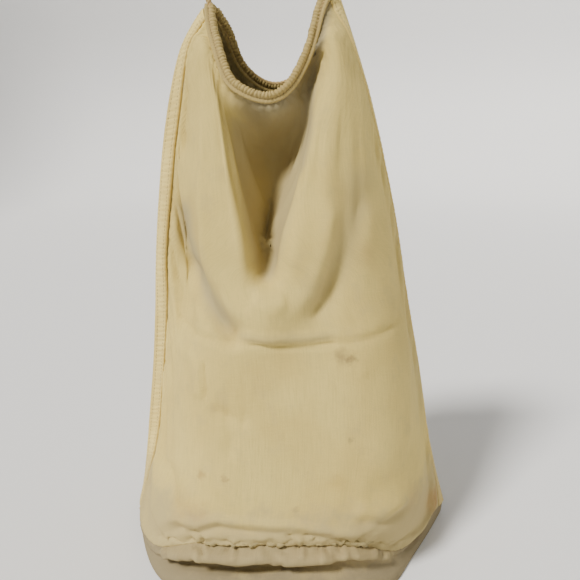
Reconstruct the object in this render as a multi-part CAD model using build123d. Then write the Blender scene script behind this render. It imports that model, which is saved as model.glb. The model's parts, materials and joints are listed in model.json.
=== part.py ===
from build123d import *
import os
import numpy as np

# A canvas mail sack that stands on its round base and is held up by the two sides of its mouth.
#
# Millimetres. +Z is up, the front is -Y, and the origin is the middle of the base's footprint.
# The cloth is described by nets: a net is a list of rows from the base seam up to the rim, and
# each row runs from the left side seam to the right side seam. Every point is on the cloth's
# middle surface. A net becomes a solid of the cloth's thickness.

CANVAS = 2.0  # the canvas with its nap
SEAM_WIDTH = 15.0  # a felled side seam lies flat on the front, at the sack's left and right edges
SEAM_THICKNESS = 1.6
SEAM_SHARE = 0.8  # how much of the gathered cloth beside a seam it may cover
BASE_SEAM_SHARE = 0.22  # of the first step of a panel's net, covered inside by the base's seam
HEM_DIAMETER = 12.0  # the gathered channel round the mouth
HEM_BORE = 8.5
HEM_BITE = 1.0  # how deep a panel's edge is sewn into its hem
CORD_DIAMETER = 4.5
KNOT_RADIUS = 6.5
TAIL_LENGTH = 16.0  # each of the cord's two ends, from the knot's middle
TAIL_DROOP = 105  # degrees from straight up
ROLL = 9.0  # how far the slack base rolls out and in below its seam, at the front
ROLL_SHAPE = [(0, 0), (0.3, 0.45), (0.57, -0.75), (0.8, 1.0), (1, 0)]  # share of the height, share of the roll
SEAM_GAP = 0.15  # the two panels' halves of the base's edge stay this far short of the side seam
DISC_MARGIN = 0.4  # the flat disc reaches this far past the base's turned-up edge
SEAM_LOW, SEAM_HIGH = 16.0, 58.0  # the base seam's height at the back and at the front
PATCH_STEPS = 2  # grid steps to each step of a net
SKIN_TOLERANCE, SKIN_DEGREE = 0.05, 8
STRIP_STEPS = 3  # grid steps across a seam
ARC_SHARE = 0.45  # of the shorter run, taken by each arc of a path

# The hems' centrelines, from the left side seam down into the mouth and up to the right one.
FRONT_HEM = [(-81, -6.5, 581), (-80, -13, 567), (-76, -22, 550), (-70, -33, 532), (-62, -43, 512), (-47, -51, 499),
             (-24, -53.5, 492.5), (-6, -50, 500.5), (5, -43, 515), (13, -35, 531), (20, -26, 551), (27, -14, 577),
             (37, -6.5, 595)]
BACK_HEM = [(-81, 6.5, 581), (-73, 13, 570), (-64, 24, 552), (-53, 37, 526), (-22, 46, 505), (10, 40, 518),
            (24, 27, 548), (30, 16, 571), (37, 6.5, 595)]
MOUTH_MIDDLE = (-20, 570)  # X and Z, about which the hems curve
LEFT_TOP, RIGHT_TOP = (-87, 0, 578), (44, 0, 593)  # where the side seams end
LEFT_BIGHT = [(-86, -6, 593), (-88, 0, 600), (-86, 6, 593)]  # the bare cord over the left seam
KNOT = (46, 0, 608)  # the cord's ends are tied over the right seam
RIGHT_FRONT_LEAD, RIGHT_BACK_LEAD = (42, -4.5, 603), (42, 4.5, 603)

# The front panel: a deep cowl hangs between the two held points.
FRONT = [
    # base seam, lifted off the table at the front
    [(-186, 14, 16), (-178, -28, 17), (-163, -64, 20), (-138, -98, 32), (-102, -119, 52), (-62, -126, 57),
     (-20, -128, 58), (22, -127, 58), (62, -122, 54), (96, -106, 34), (124, -80, 20), (154, -36, 17),
     (186, 14, 16)],
    # the ridge over the base
    [(-177, 11, 58), (-167, -18, 60), (-157, -62, 62), (-139, -98, 68), (-104, -126, 78), (-62, -135, 82),
     (-20, -136, 82), (22, -136, 82), (64, -133, 80), (104, -116, 70), (134, -84, 62), (159, -38, 58),
     (174, 14, 56)],
    # the plain lower front
    [(-169, 7, 122), (-151, -7, 124), (-138, -56, 126), (-118, -98, 128), (-89, -120, 130), (-54, -128, 132),
     (-14, -129, 132), (26, -128, 132), (66, -124, 130), (103, -110, 128), (130, -80, 124), (149, -38, 120),
     (159, 14, 118)],
    [(-160, 5, 192), (-143, -5, 194), (-128, -47, 196), (-110, -86, 198), (-84, -108, 199), (-51, -116, 200),
     (-14, -117, 200), (24, -116, 200), (62, -113, 199), (97, -100, 198), (122, -72, 196), (139, -34, 192),
     (146, 14, 190)],
    # the crease of storage, under the cowl
    [(-154, 4, 255), (-137, -4, 256), (-118, -40, 256), (-100, -76, 257), (-77, -97, 257), (-49, -104, 256),
     (-17, -105, 256), (18, -104, 256), (54, -102, 257), (87, -92, 257), (112, -66, 256), (127, -32, 254),
     (133, 14, 252)],
    # the cowl's lip
    [(-149, 4, 316), (-133, -4, 317), (-106, -6, 317), (-92, -58, 316), (-70, -82, 315), (-46, -96, 314),
     (-22, -104, 311), (8, -99, 314), (40, -88, 315), (72, -80, 316), (98, -60, 316), (114, -30, 315),
     (121, 12, 314)],
    # the cowl opens between its two flanks
    [(-144, 4, 372), (-128, -3, 372), (-107, -2, 372), (-91, -60, 372), (-64, -86, 370), (-42, -84, 362),
     (-27, -14, 352), (-10, -80, 362), (24, -91, 370), (62, -76, 372), (89, -52, 372), (104, -26, 372),
     (110, 10, 370)],
    [(-137, 4, 432), (-122, -3, 434), (-110, -12, 436), (-92, -54, 436), (-67, -68, 432), (-53, -50, 424),
     (-24, 20, 408), (0, -34, 420), (11, -66, 430), (38, -74, 436), (70, -49, 438), (88, -22, 436),
     (95, 8, 434)],
    [(-128, 3, 486), (-114, -3, 489), (-99, -25, 491), (-85, -43, 491), (-73, -50, 486), (-63, -42, 470),
     (-23, 6, 452), (13, -28, 466), (24, -50, 488), (42, -56, 494), (60, -40, 494), (73, -18, 492),
     (80, 6, 490)],
    [(-112, 3, 540), (-104, -5, 543), (-95, -18, 543), (-87, -29, 539), (-79, -35, 524), (-62, -39, 496),
     (-22, -43, 475), (8, -37, 492), (25, -27, 522), (35, -37, 546), (46, -27, 551), (54, -12, 552),
     (60, 4, 550)],
]

# The back panel hangs in a shallower cowl. Its side edges are the front panel's.
BACK_MIDDLE = [
    [(-172, 70, 17), (-130, 122, 18), (-68, 146, 19), (0, 150, 20), (68, 146, 19), (130, 122, 18), (172, 70, 17)],
    [(-164, 66, 60), (-124, 114, 60), (-66, 138, 62), (0, 142, 62), (66, 138, 62), (124, 114, 60), (163, 66, 58)],
    [(-152, 58, 125), (-114, 104, 128), (-62, 124, 130), (-4, 129, 130), (54, 124, 130), (108, 102, 127),
     (146, 60, 122)],
    [(-142, 50, 195), (-106, 90, 198), (-60, 110, 200), (-8, 115, 200), (44, 110, 200), (96, 92, 197),
     (132, 54, 193)],
    [(-134, 46, 257), (-100, 80, 258), (-58, 98, 259), (-12, 102, 259), (36, 98, 259), (84, 82, 258),
     (119, 48, 256)],
    [(-128, 42, 317), (-96, 70, 318), (-57, 86, 318), (-15, 92, 316), (29, 86, 318), (73, 72, 318),
     (107, 44, 317)],
    [(-122, 36, 372), (-93, 60, 372), (-56, 76, 370), (-18, 78, 364), (20, 76, 370), (64, 62, 372),
     (97, 38, 372)],
    [(-116, 30, 434), (-90, 52, 434), (-62, 65, 430), (-20, 62, 420), (18, 65, 430), (56, 54, 434),
     (83, 32, 434)],
    [(-109, 24, 489), (-88, 42, 490), (-64, 50, 482), (-22, 52, 468), (18, 49, 482), (48, 42, 490),
     (70, 24, 490)],
    [(-101, 14, 543), (-86, 27, 540), (-64, 38, 512), (-22, 48, 487), (18, 40, 514), (38, 30, 545),
     (54, 14, 552)],
]
BACK = [[front[0], *middle, front[-1]] for front, middle in zip(FRONT, BACK_MIDDLE)]

# The base's footprint on the table, from the left side seam round the front to the right one, and
# round the back.
FRONT_FOOT = [(-184, 14), (-175, -29), (-163, -66), (-143, -104), (-110, -133), (-70, -146), (-25, -150),
              (20, -150), (66, -144), (104, -119), (128, -82), (156, -36), (184, 14)]
BACK_FOOT = [(-184, 14), (-171, 70), (-129, 121), (-68, 145), (0, 150), (68, 145), (129, 121), (171, 70),
             (184, 14)]


def spline(knots, count):
    """Points at equal steps of a natural cubic spline through the knots, count steps to each span."""
    knots = np.asarray(knots, float)
    n = len(knots)
    system = np.diag(np.full(n, 4.0)) + np.diag(np.ones(n - 1), 1) + np.diag(np.ones(n - 1), -1)
    system[0, 0] = system[-1, -1] = 2.0
    rise = np.zeros_like(knots)
    rise[1:-1] = 3 * (knots[2:] - knots[:-2])
    rise[0], rise[-1] = 3 * (knots[1] - knots[0]), 3 * (knots[-1] - knots[-2])
    slope = np.linalg.solve(system, rise)
    points = []
    for k in range(n - 1):
        for s in np.arange(count) / count:
            points.append(
                knots[k] * (2 * s**3 - 3 * s**2 + 1) + knots[k + 1] * (3 * s**2 - 2 * s**3)
                + slope[k] * (s**3 - 2 * s**2 + s) + slope[k + 1] * (s**3 - s**2)
            )
    return np.array([*points, knots[-1]])


def grid_of(net):
    """A net's smooth surface as a fine grid of points."""
    along = np.array([spline(row, PATCH_STEPS) for row in net])
    return np.stack([spline(along[:, j], PATCH_STEPS) for j in range(along.shape[1])], axis=1)


def normals_of(grid, out, level_rows=()):
    """A grid's unit normals, out of the sack: out is 1 for a front net and -1 for a back one. At a side seam
    they lie along X, so that the two panels meet face to face, and in the level rows they are horizontal."""
    normal = np.cross(np.gradient(grid, axis=1), np.gradient(grid, axis=0)) * out
    for row in level_rows:
        normal[row, :, 2] = 0
    normal[:, 0] = (-1, 0, 0)
    normal[:, -1] = (1, 0, 0)
    return normal / np.linalg.norm(normal, axis=2, keepdims=True)


def nearest_edge(face, point):
    """The face's edge that passes nearest to a point."""
    return min(face.edges(), key=lambda edge: edge.distance_to(Vector(*point)))


def cloth(grid, normal, outside, inside):
    """A solid between two offsets of a grid: an outer and an inner skin, and a ruled face round each edge."""
    skins, borders = [], []
    for offset in (outside, inside):
        points = grid + normal * offset
        skin = Face.make_surface_from_array_of_points(
            [[tuple(p) for p in row] for row in points], tol=SKIN_TOLERANCE, smoothing=(1, 1, 1),
            max_deg=SKIN_DEGREE)
        skins.append(skin)
        sides = (points[0], points[-1], points[:, 0], points[:, -1])
        borders.append([nearest_edge(skin, side[len(side) // 2]) for side in sides])
    rims = [Face.make_surface_from_curves(a, b) for a, b in zip(*borders)]
    return Solid(Shell([*skins, *rims]))


def rim_of(hem):
    """The panel's edge that is sewn into a hem, on the side away from the mouth."""
    hem = np.asarray(hem, float)
    tangent = np.gradient(hem, axis=0)
    tangent /= np.linalg.norm(tangent, axis=1, keepdims=True)
    away = hem - [(MOUTH_MIDDLE[0], y, MOUTH_MIDDLE[1]) for y in hem[:, 1]]
    away -= tangent * (away * tangent).sum(1, keepdims=True)
    away /= np.linalg.norm(away, axis=1, keepdims=True)
    rim = hem + away * (HEM_DIAMETER / 2 - HEM_BITE)
    return [LEFT_TOP, *map(tuple, rim[1:-1]), RIGHT_TOP]


def wall_net(foot, seam):
    """The base's own edge, from the table up to its seam. Where the seam is high, the slack canvas rolls
    out over the table, in at a crease, and out again under the seam."""
    rows = []
    for share, swing in ROLL_SHAPE:
        row = []
        for (fx, fy), (sx, sy, sz) in zip(foot, seam):
            slack = max(0, (sz - SEAM_LOW) / (SEAM_HIGH - SEAM_LOW))
            reach = 1 + ROLL * slack * swing / np.hypot(fx, fy)
            x = (fx + (sx - fx) * share) * reach
            y = (fy + (sy - fy) * share) * reach
            row.append((x, y, CANVAS / 2 + (sz - CANVAS / 2) * share))
        rows.append(row)
    return rows


def base_panel():
    """The round base: a flat disc on the table, turned up all round as far as its seam."""
    walls, ring = [], []
    for foot, panel, out in ((FRONT_FOOT, FRONT, 1), (BACK_FOOT, BACK, -1)):
        grid = grid_of(wall_net(foot, panel[0]))
        grid[:, (0, -1), 1] -= out * SEAM_GAP
        normal = normals_of(grid, out, level_rows=(0, -1))
        walls.append(cloth(grid, normal, CANVAS / 2, -CANVAS / 2))
        edge = (grid + normal * (CANVAS / 2 + DISC_MARGIN))[0, :, :2]
        ring += [*edge[:-1]] if out == 1 else [*edge[:0:-1]]
    rim = Edge.make_spline([Vector(*p, 0) for p in ring], periodic=True)
    disc = extrude(Face(Wire([rim])), CANVAS)
    return disc + walls[0] + walls[1]


def strip_along_seam(net, side):
    """A felled seam on a panel's outer face: side is 0 for the left edge and -1 for the right one."""
    grid = grid_of(net)
    normal = normals_of(grid, 1)
    rows, row_normals = [], []
    for points, point_normals in zip(grid, normal):
        if side:
            points, point_normals = points[::-1], point_normals[::-1]
        steps = np.concatenate([[0], np.cumsum(np.linalg.norm(np.diff(points, axis=0), axis=1))])
        width = min(SEAM_WIDTH, SEAM_SHARE * steps[2 * PATCH_STEPS])
        at = np.linspace(0, width, STRIP_STEPS + 1)
        rows.append([[np.interp(a, steps, points[:, k]) for k in range(3)] for a in at])
        row_normals.append([[np.interp(a, steps, point_normals[:, k]) for k in range(3)] for a in at])
    return cloth(np.array(rows), np.array(row_normals), CANVAS / 2 + SEAM_THICKNESS, CANVAS / 2)


def base_seam(net, out):
    """The allowance inside the sack where a panel is sewn to the base."""
    grid = grid_of(net)
    normal = normals_of(grid, out, level_rows=(0,))
    rise = (grid[PATCH_STEPS] - grid[0]) * BASE_SEAM_SHARE
    band = np.array([grid[0] + rise * t for t in np.linspace(0, 1, STRIP_STEPS + 1)])
    return cloth(band, np.array([normal[0]] * len(band)), -CANVAS / 2, -CANVAS / 2 - SEAM_THICKNESS)


def path_of(points):
    """Straight runs joined by tangent arcs, each as large as its two runs allow."""
    knots = [Vector(*p) for p in points]
    radii = []
    for before, here, after in zip(knots, knots[1:], knots[2:]):
        a, b = here - before, after - here
        turn = np.radians(a.get_angle(b))
        radii.append(ARC_SHARE * min(a.length, b.length) / np.tan(turn / 2))
    print("bend radii from", round(min(radii), 1), "to", round(max(radii), 1))
    return FilletPolyline(*knots, radius=radii)


def tube(points, diameter, bore=0.0):
    """A round tube or rod that follows a route."""
    path = path_of(points)
    start = Plane(origin=path @ 0, z_dir=path % 0)
    rod = sweep(start * Circle(diameter / 2), path=path)
    print("tube", round(rod.volume), "of", round(np.pi * diameter**2 / 4 * path.length))
    if bore:
        rod -= sweep(start * Circle(bore / 2), path=path)
    return rod


def drawcord():
    """One cord in both hems: bare over the left seam, and ending in the knot over the right one."""
    route = [RIGHT_FRONT_LEAD, *FRONT_HEM[::-1], *LEFT_BIGHT, *BACK_HEM, RIGHT_BACK_LEAD]
    return tube(route, CORD_DIAMETER)


def knot():
    """The cord's two ends tied together, with their tails."""
    shape = Pos(*KNOT) * Sphere(KNOT_RADIUS)
    for side in (-1, 1):
        tail = Pos(*KNOT) * Rot(side * TAIL_DROOP, 0, 0) * Cylinder(
            CORD_DIAMETER / 2, TAIL_LENGTH, align=(Align.CENTER, Align.CENTER, Align.MIN))
        shape += tail
    return shape


def main():
    os.makedirs("parts", exist_ok=True)
    front, back = [*FRONT, rim_of(FRONT_HEM)], [*BACK, rim_of(BACK_HEM)]
    nodes = {}
    for name, net, out in (("front_panel", front, 1), ("back_panel", back, -1)):
        grid = grid_of(net)
        nodes[name] = cloth(grid, normals_of(grid, out, level_rows=(0,)), CANVAS / 2, -CANVAS / 2)
    nodes["base_panel"] = base_panel()
    nodes["left_side_seam"] = strip_along_seam(front, 0)
    nodes["right_side_seam"] = strip_along_seam(front, -1)
    nodes["base_seam"] = Compound([base_seam(FRONT, 1), base_seam(BACK, -1)])
    nodes["front_hem"] = tube(FRONT_HEM, HEM_DIAMETER, HEM_BORE)
    nodes["back_hem"] = tube(BACK_HEM, HEM_DIAMETER, HEM_BORE)
    nodes["drawcord"] = drawcord()
    nodes["drawcord_knot"] = knot()
    for name, shape in nodes.items():
        print(name, shape.volume, shape.is_valid, len(shape.solids()))
        export_step(shape, f"parts/{name}.step")


if __name__ == "__main__":
    main()
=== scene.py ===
import json
import math

import bpy
import numpy as np
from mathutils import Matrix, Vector

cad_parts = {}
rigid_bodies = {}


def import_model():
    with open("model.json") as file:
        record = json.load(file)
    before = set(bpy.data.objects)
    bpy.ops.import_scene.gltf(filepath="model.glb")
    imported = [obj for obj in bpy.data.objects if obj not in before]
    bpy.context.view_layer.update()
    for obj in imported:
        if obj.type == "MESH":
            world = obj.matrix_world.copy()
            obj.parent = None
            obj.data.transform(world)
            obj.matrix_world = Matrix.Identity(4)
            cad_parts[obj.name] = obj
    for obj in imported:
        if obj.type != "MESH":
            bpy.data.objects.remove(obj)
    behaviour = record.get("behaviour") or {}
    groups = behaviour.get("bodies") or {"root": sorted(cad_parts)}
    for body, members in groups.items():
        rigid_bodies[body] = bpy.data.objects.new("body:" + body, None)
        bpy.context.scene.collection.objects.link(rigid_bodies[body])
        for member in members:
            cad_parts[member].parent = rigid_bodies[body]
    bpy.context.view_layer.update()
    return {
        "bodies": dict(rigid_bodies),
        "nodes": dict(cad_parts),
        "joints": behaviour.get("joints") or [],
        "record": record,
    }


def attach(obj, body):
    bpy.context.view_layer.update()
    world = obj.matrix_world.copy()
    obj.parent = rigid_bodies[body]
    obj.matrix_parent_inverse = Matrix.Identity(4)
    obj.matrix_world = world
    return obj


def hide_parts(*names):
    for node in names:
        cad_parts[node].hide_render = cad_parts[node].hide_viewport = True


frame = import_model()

# A canvas mail sack that stands on its round base, with its mouth held up at two points.
# Points and lengths are in millimetres until a mesh is made, in the frame's own axes: +Z up, front -Y.
MM = 0.001
BODY = "root"
CLOTH = 2.0  # the canvas with its nap
THIN_CLOTH = 1.2  # and without it, so that a panel's inner face stays clear of sharp folds
SEAM_WIDTH = 15.0
SEAM_RISE = 1.5
SEAM_SHARE = 0.8
SEAM_BEAD, SEAM_GROOVE = 1.3, 2.4  # beside a side seam's inner edge, on the body
ROLL = 9.0
SEAM_LOW, SEAM_HIGH = 16.0, 58.0
ROLL_SHAPE = [(0, 0), (0.3, 0.45), (0.57, -0.75), (0.8, 1.0), (1, 0)]
MOUTH_MIDDLE = (-20, 570)
LEFT_TOP, RIGHT_TOP = (-87, 0, 578), (44, 0, 593)
LEFT_BIGHT = [(-86, -6, 593), (-88, 0, 600), (-86, 6, 593)]
RIGHT_FRONT_LEAD, RIGHT_BACK_LEAD = (42, -4.5, 603), (42, 4.5, 603)
KNOT = (46, 0, 608)
ROPE_DIAMETER = 4.5

FRONT_HEM = [(-81, -6.5, 581), (-80, -13, 567), (-76, -22, 550), (-70, -33, 532), (-62, -43, 512),
             (-47, -51, 499), (-24, -53.5, 492.5), (-6, -50, 500.5), (5, -43, 515), (13, -35, 531),
             (20, -26, 551), (27, -14, 577), (37, -6.5, 595)]
BACK_HEM = [(-81, 6.5, 581), (-73, 13, 570), (-64, 24, 552), (-53, 37, 526), (-22, 46, 505), (10, 40, 518),
            (24, 27, 548), (30, 16, 571), (37, 6.5, 595)]

FRONT = [
    # base seam, lifted off the table at the front
    [(-186, 14, 16), (-178, -28, 17), (-163, -64, 20), (-138, -98, 32), (-102, -119, 52), (-62, -126, 57),
     (-20, -128, 58), (22, -127, 58), (62, -122, 54), (96, -106, 34), (124, -80, 20), (154, -36, 17),
     (186, 14, 16)],
    # the ridge over the base
    [(-177, 11, 58), (-167, -18, 60), (-157, -62, 62), (-139, -98, 68), (-104, -126, 78), (-62, -135, 82),
     (-20, -136, 82), (22, -136, 82), (64, -133, 80), (104, -116, 70), (134, -84, 62), (159, -38, 58),
     (174, 14, 56)],
    # the plain lower front
    [(-169, 7, 122), (-151, -7, 124), (-138, -56, 126), (-118, -98, 128), (-89, -120, 130), (-54, -128, 132),
     (-14, -129, 132), (26, -128, 132), (66, -124, 130), (103, -110, 128), (130, -80, 124), (149, -38, 120),
     (159, 14, 118)],
    [(-160, 5, 192), (-143, -5, 194), (-128, -47, 196), (-110, -86, 198), (-84, -108, 199), (-51, -116, 200),
     (-14, -117, 200), (24, -116, 200), (62, -113, 199), (97, -100, 198), (122, -72, 196), (139, -34, 192),
     (146, 14, 190)],
    # the crease of storage, under the cowl
    [(-154, 4, 255), (-137, -4, 256), (-118, -40, 256), (-100, -76, 257), (-77, -97, 257), (-49, -104, 256),
     (-17, -105, 256), (18, -104, 256), (54, -102, 257), (87, -92, 257), (112, -66, 256), (127, -32, 254),
     (133, 14, 252)],
    # the cowl's lip
    [(-149, 4, 316), (-133, -4, 317), (-106, -6, 317), (-92, -58, 316), (-70, -82, 315), (-46, -96, 314),
     (-22, -104, 311), (8, -99, 314), (40, -88, 315), (72, -80, 316), (98, -60, 316), (114, -30, 315),
     (121, 12, 314)],
    # the cowl opens between its two flanks
    [(-144, 4, 372), (-128, -3, 372), (-107, -2, 372), (-91, -60, 372), (-64, -86, 370), (-42, -84, 362),
     (-27, -28, 354), (-10, -80, 362), (24, -91, 370), (62, -76, 372), (89, -52, 372), (104, -26, 372),
     (110, 10, 370)],
    [(-137, 4, 432), (-122, -3, 434), (-110, -12, 436), (-92, -54, 436), (-67, -68, 432), (-53, -50, 424),
     (-24, 10, 409), (2, -32, 420), (13, -65, 430), (38, -74, 436), (70, -49, 438), (88, -22, 436),
     (95, 8, 434)],
    [(-128, 3, 486), (-114, -3, 489), (-99, -25, 491), (-85, -43, 491), (-73, -50, 486), (-63, -42, 470),
     (-23, 6, 452), (13, -28, 466), (24, -50, 488), (42, -56, 494), (60, -40, 494), (73, -18, 492),
     (80, 6, 490)],
    [(-112, 3, 540), (-104, -5, 543), (-95, -18, 543), (-87, -29, 539), (-79, -35, 524), (-62, -39, 496),
     (-22, -43, 475), (8, -37, 492), (25, -27, 522), (35, -37, 546), (46, -27, 551), (54, -12, 552),
     (60, 4, 550)],
]

# The back panel hangs in a shallower cowl. Its side edges are the front panel's.
BACK_MIDDLE = [
    [(-172, 70, 17), (-130, 122, 18), (-68, 146, 19), (0, 150, 20), (68, 146, 19), (130, 122, 18),
     (172, 70, 17)],
    [(-164, 66, 60), (-124, 114, 60), (-66, 138, 62), (0, 142, 62), (66, 138, 62), (124, 114, 60),
     (163, 66, 58)],
    [(-152, 58, 125), (-114, 104, 128), (-62, 124, 130), (-4, 129, 130), (54, 124, 130), (108, 102, 127),
     (146, 60, 122)],
    [(-142, 50, 195), (-106, 90, 198), (-60, 110, 200), (-8, 115, 200), (44, 110, 200), (96, 92, 197),
     (132, 54, 193)],
    [(-134, 46, 257), (-100, 80, 258), (-58, 98, 259), (-12, 102, 259), (36, 98, 259), (84, 82, 258),
     (119, 48, 256)],
    [(-128, 42, 317), (-96, 70, 318), (-57, 86, 318), (-15, 92, 316), (29, 86, 318), (73, 72, 318),
     (107, 44, 317)],
    [(-122, 36, 372), (-93, 60, 372), (-56, 76, 370), (-18, 78, 364), (20, 76, 370), (64, 62, 372),
     (97, 38, 372)],
    [(-116, 30, 434), (-90, 52, 434), (-62, 65, 430), (-20, 62, 420), (18, 65, 430), (56, 54, 434),
     (83, 32, 434)],
    [(-109, 24, 489), (-88, 42, 490), (-64, 50, 482), (-22, 52, 468), (18, 49, 482), (48, 42, 490),
     (70, 24, 490)],
    [(-101, 14, 543), (-86, 27, 540), (-64, 38, 512), (-22, 48, 487), (18, 40, 514), (38, 30, 545),
     (54, 14, 552)],
]
BACK = [[front[0], *middle, front[-1]] for front, middle in zip(FRONT, BACK_MIDDLE)]
FRONT_FOOT = [(-184, 14), (-175, -29), (-163, -66), (-143, -104), (-110, -133), (-70, -146), (-25, -150),
              (20, -150), (66, -144), (104, -119), (128, -82), (156, -36), (184, 14)]
BACK_FOOT = [(-184, 14), (-171, 70), (-129, 121), (-68, 145), (0, 150), (68, 145), (129, 121), (171, 70),
             (184, 14)]


# ---------------------------------------------------------------- curves and surfaces

def unit(vectors):
    return vectors / np.maximum(np.linalg.norm(vectors, axis=-1, keepdims=True), 1e-9)


def smooth(x, low, high):
    """0 below low and 1 above high, with a smooth step between."""
    t = np.clip((x - low) / (high - low), 0, 1)
    return t * t * (3 - 2 * t)


def spline(knots, at):
    """Points on a natural cubic spline: place 0 is the first knot and place 1 is the second."""
    knots = np.asarray(knots, float)
    n = len(knots)
    system = np.diag(np.full(n, 4.0)) + np.diag(np.ones(n - 1), 1) + np.diag(np.ones(n - 1), -1)
    system[0, 0] = system[-1, -1] = 2.0
    rise = np.zeros_like(knots)
    rise[1:-1] = 3 * (knots[2:] - knots[:-2])
    rise[0], rise[-1] = 3 * (knots[1] - knots[0]), 3 * (knots[-1] - knots[-2])
    slope = np.linalg.solve(system, rise.reshape(n, -1)).reshape(knots.shape)
    k = np.minimum(at.astype(int), n - 2)
    s = (at - k).reshape(-1, *[1] * (knots.ndim - 1))
    return (knots[k] * (2 * s**3 - 3 * s**2 + 1) + knots[k + 1] * (3 * s**2 - 2 * s**3)
            + slope[k] * (s**3 - 2 * s**2 + s) + slope[k + 1] * (s**3 - s**2))


def places(knots, per_span):
    return np.linspace(0, len(knots) - 1, (len(knots) - 1) * per_span + 1)


def surface(net, across, along):
    """A net's smooth surface as a grid of points: rows go up the sack and columns go left to right."""
    rows = np.array([spline(row, places(row, across)) for row in net])
    return spline(rows, places(rows, along))


def normals_of(grid, out):
    return unit(np.cross(np.gradient(grid, axis=1), np.gradient(grid, axis=0))) * out


def lengths_along(line):
    return np.concatenate([[0], np.cumsum(np.linalg.norm(np.diff(line, axis=0), axis=1))])


def hem_frames(hem, out, count):
    """The hem's centreline in even steps, with its direction, its way up to the mouth and its way out."""
    fine = spline(hem, places(hem, 40))
    steps = lengths_along(fine)
    even = np.linspace(0, steps[-1], count)
    line = np.stack([np.interp(even, steps, fine[:, k]) for k in range(3)], axis=1)
    tangent = unit(np.gradient(line, axis=0))
    middle = np.stack([np.full(count, MOUTH_MIDDLE[0]), line[:, 1], np.full(count, MOUTH_MIDDLE[1])], axis=1)
    up = middle - line
    up = unit(up - tangent * (up * tangent).sum(1, keepdims=True))
    return line, tangent, up, np.cross(tangent, up) * out, even


def rim_of(hem, out):
    """The panel's edge that is sewn in behind a hem's band, on the side away from the mouth."""
    hem = np.asarray(hem, float)
    tangent = unit(np.gradient(hem, axis=0))
    away = hem - [(MOUTH_MIDDLE[0], y, MOUTH_MIDDLE[1]) for y in hem[:, 1]]
    away = unit(away - tangent * (away * tangent).sum(1, keepdims=True))
    outward = np.cross(tangent, -away) * out
    rim = hem + away * 4.4 - outward * 1.8
    return [LEFT_TOP, *map(tuple, rim[1:-1]), RIGHT_TOP]


def distance_to_path(points, path):
    """How far points are from a polyline in the same plane, and how far along it their nearest place is,
    0 to 1."""
    path = np.asarray(path, float)
    best, where = np.full(points.shape[:-1], 1e9), np.zeros(points.shape[:-1])
    steps = lengths_along(path)
    for a, b, start in zip(path, path[1:], steps):
        along = b - a
        length = np.linalg.norm(along)
        t = np.clip(((points - a) @ along) / length**2, 0, 1)
        d = np.linalg.norm(points - (a + t[..., None] * along), axis=-1)
        nearer = d < best
        best = np.where(nearer, d, best)
        where = np.where(nearer, (start + t * length) / steps[-1], where)
    return best, where


# ---------------------------------------------------------------- meshes

def mesh_piece(name, points, faces, material, uvs=None):
    """A piece from points in millimetres. uvs has one (u, v) for each point, in metres of cloth."""
    mesh = bpy.data.meshes.new(name)
    mesh.from_pydata((np.asarray(points) * MM).tolist(), [], faces)
    if uvs is not None:
        layer = mesh.uv_layers.new(name="cloth")
        index = np.zeros(len(mesh.loops), int)
        mesh.loops.foreach_get("vertex_index", index)
        layer.data.foreach_set("uv", np.asarray(uvs)[index].ravel())
    mesh.polygons.foreach_set("use_smooth", [True] * len(mesh.polygons))
    mesh.materials.append(material)
    piece = bpy.data.objects.new(name, mesh)
    bpy.context.scene.collection.objects.link(piece)
    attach(piece, BODY)
    return piece


def grid_faces(rows, columns, flip=False, ring=False, start=0):
    """Quads over a grid of points. A ring's last column joins its first."""
    faces = []
    for r in range(rows - 1):
        for c in range(columns if ring else columns - 1):
            d = (c + 1) % columns
            quad = (start + r * columns + c, start + r * columns + d,
                    start + (r + 1) * columns + d, start + (r + 1) * columns + c)
            faces.append(quad[::-1] if flip else quad)
    return faces


def tube_points(line, radius, sides=8):
    """Rings of points round a line, with no twist."""
    tangent = unit(np.gradient(line, axis=0))
    side = np.cross(tangent[0], (0.3, 0.5, 0.8))
    rings = []
    for p, t in zip(line, tangent):
        side = unit(side - t * (side @ t))
        other = np.cross(t, side)
        angles = np.arange(sides) * 2 * math.pi / sides
        rings.append(p + radius * (np.outer(np.cos(angles), side) + np.outer(np.sin(angles), other)))
    return np.array(rings)


def add_tube(points, faces, line, radius, sides=8):
    """Adds a closed round tube to the lists of points and faces."""
    rings = tube_points(line, radius, sides)
    start = len(points)
    points.extend(rings.reshape(-1, 3))
    faces.extend(grid_faces(len(rings), sides, ring=True, start=start))
    faces.append(tuple(start + k for k in range(sides))[::-1])
    faces.append(tuple(start + (len(rings) - 1) * sides + k for k in range(sides)))


def stitches(name, rows_of_points, material, stitch=3.0, gap=0.9, radius=0.42):
    """Short threads along each line of points, each dipping into the cloth at its ends. Each line comes with
    the way out of the cloth."""
    points, faces = [], []
    for line, out in rows_of_points:
        steps = lengths_along(line)
        at = gap
        while at + stitch < steps[-1]:
            span = np.linspace(at, at + stitch, 7)
            middle = np.stack([np.interp(span, steps, line[:, k]) for k in range(3)], axis=1)
            lift = np.stack([np.interp(span, steps, out[:, k]) for k in range(3)], axis=1)
            arch = np.sin(np.linspace(0, math.pi, 7))[:, None] * 1.3 * radius - 0.9 * radius
            add_tube(points, faces, middle + lift * arch, radius, 6)
            at += stitch + gap
    piece = mesh_piece(name, points, faces, material)
    return piece


# ---------------------------------------------------------------- materials

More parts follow.
